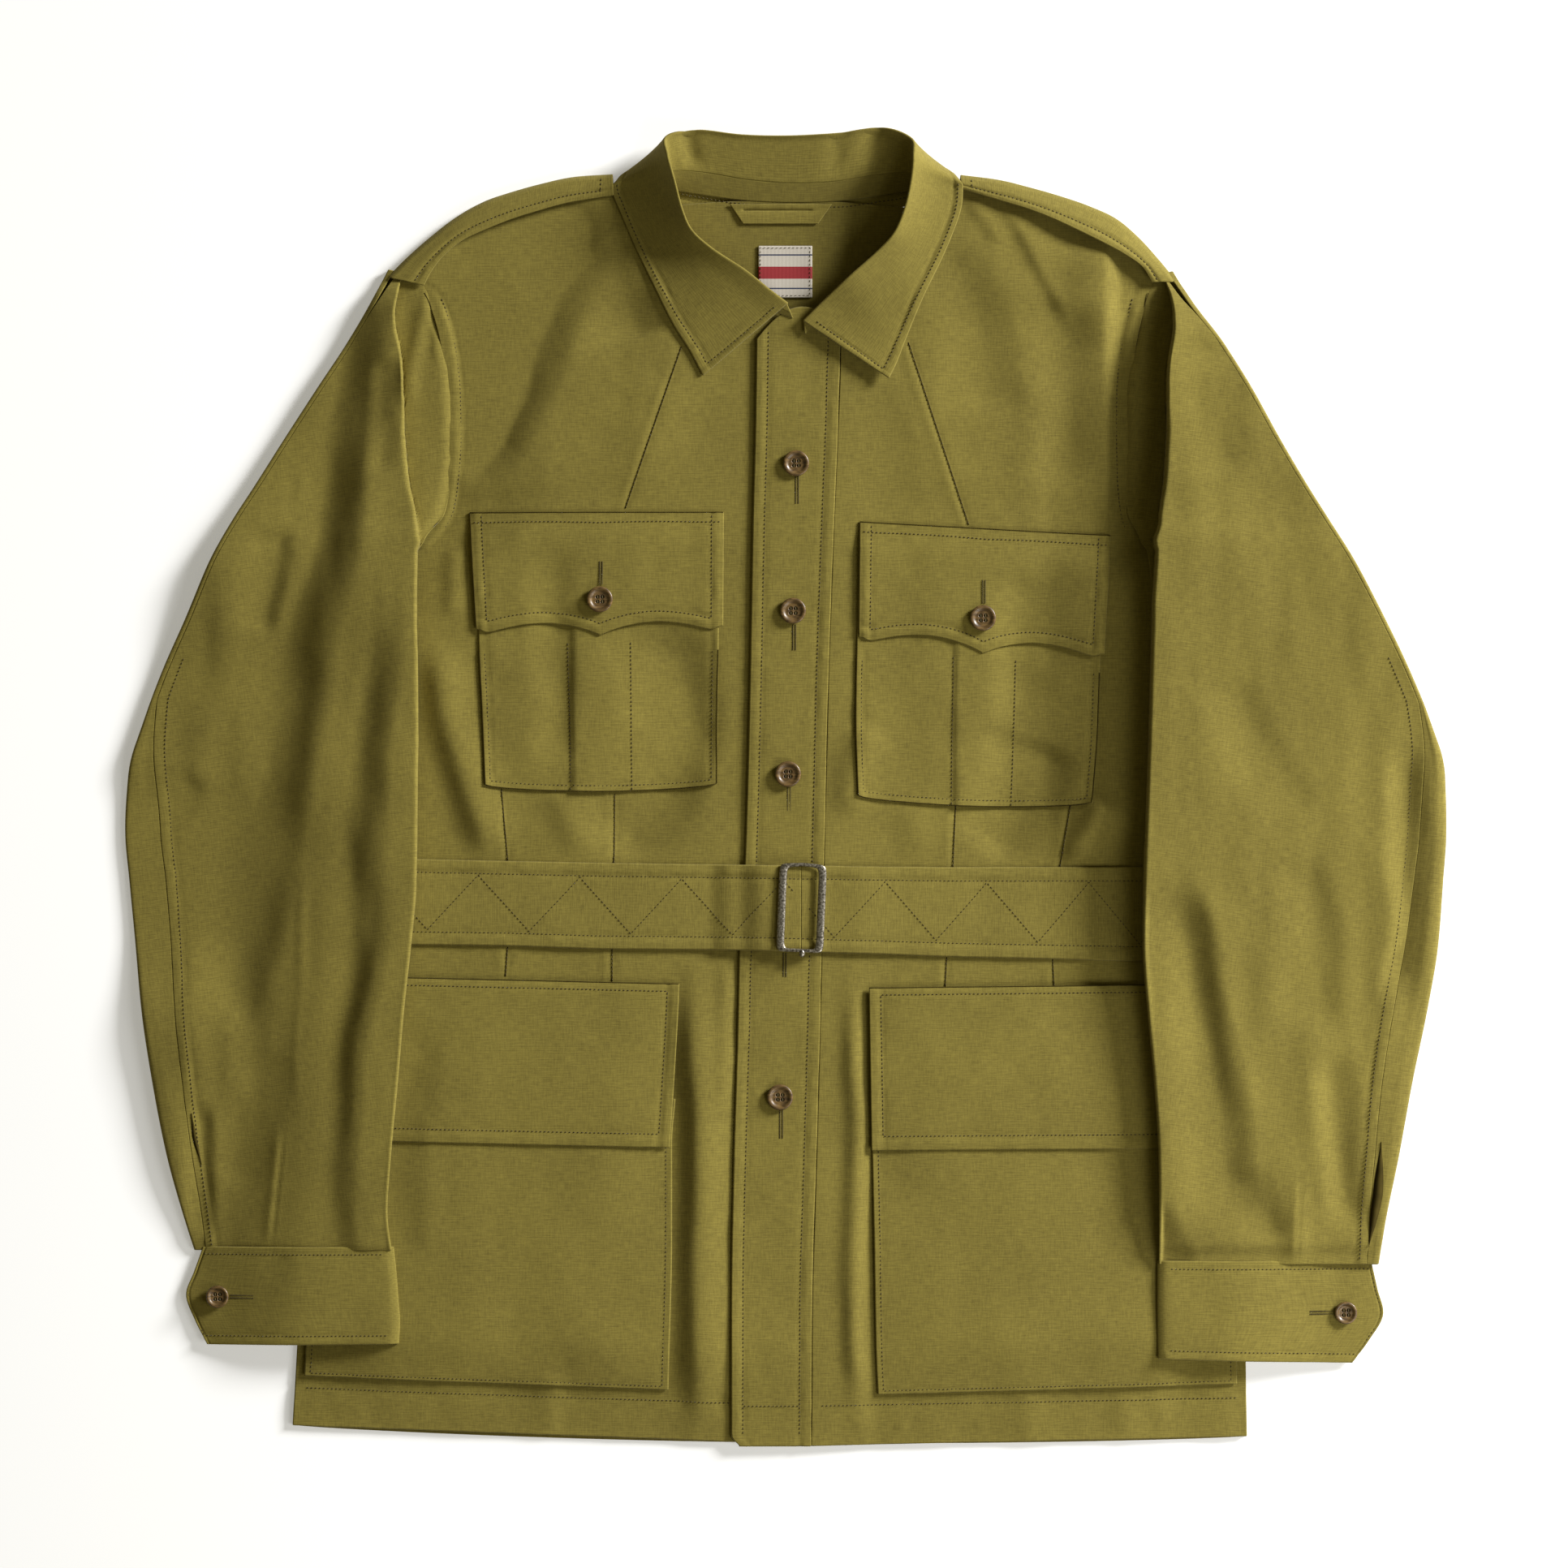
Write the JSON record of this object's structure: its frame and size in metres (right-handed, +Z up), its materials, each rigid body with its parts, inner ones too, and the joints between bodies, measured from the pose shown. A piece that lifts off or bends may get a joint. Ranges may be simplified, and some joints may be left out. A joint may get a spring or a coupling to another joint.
{
  "type": "safari jacket",
  "caption": "Olive cotton safari jacket laid flat on its back, with shoulder straps, flapped chest and lower pockets, buttoned placket and buckled cloth belt.",
  "frame": {"origin": "on the surface the jacket lies on, under the middle of its outline", "axes": "+X to the wearer's left (the picture's right), +Y towards the collar, +Z up from the surface, away from the wearer's back"},
  "size_m": [0.761, 0.7612, 0.021],
  "materials": {
    "body_cloth": "matt ribbed cotton cloth, olive",
    "trim_cloth": "the same cotton cloth, doubled and top-stitched",
    "belt_cloth": "the same cotton cloth, ribs across the belt, zigzag stitched",
    "horn": "brown horn-look button, satin",
    "nickel": "antique nickel, satin",
    "label_cloth": "cream woven tape"
  },
  "bodies": {
    "root": {"back": "body_cloth", "front_right": "body_cloth", "front_left": "body_cloth", "sleeve_top_right": "body_cloth", "sleeve_top_left": "body_cloth", "sleeve_under_right": "body_cloth", "sleeve_under_left": "body_cloth", "placket": "trim_cloth", "cuff_right": "trim_cloth", "cuff_left": "trim_cloth", "collar_stand": "trim_cloth", "collar_leaf": "trim_cloth", "epaulette_right": "trim_cloth", "epaulette_left": "trim_cloth", "chest_bag_right": "trim_cloth", "chest_bag_left": "trim_cloth", "chest_flap_right": "trim_cloth", "chest_flap_left": "trim_cloth", "lower_bag_right": "trim_cloth", "lower_bag_left": "trim_cloth", "lower_flap_right": "trim_cloth", "lower_flap_left": "trim_cloth", "hanger_loop": "trim_cloth", "belt_right": "belt_cloth", "belt_left": "belt_cloth", "button_front_1": "horn", "button_front_2": "horn", "button_front_3": "horn", "button_front_4": "horn", "button_front_5": "horn", "button_chest_right": "horn", "button_chest_left": "horn", "button_cuff_right": "horn", "button_cuff_left": "horn", "buckle": "nickel", "neck_label": "label_cloth"}
  },
  "joints": []
}
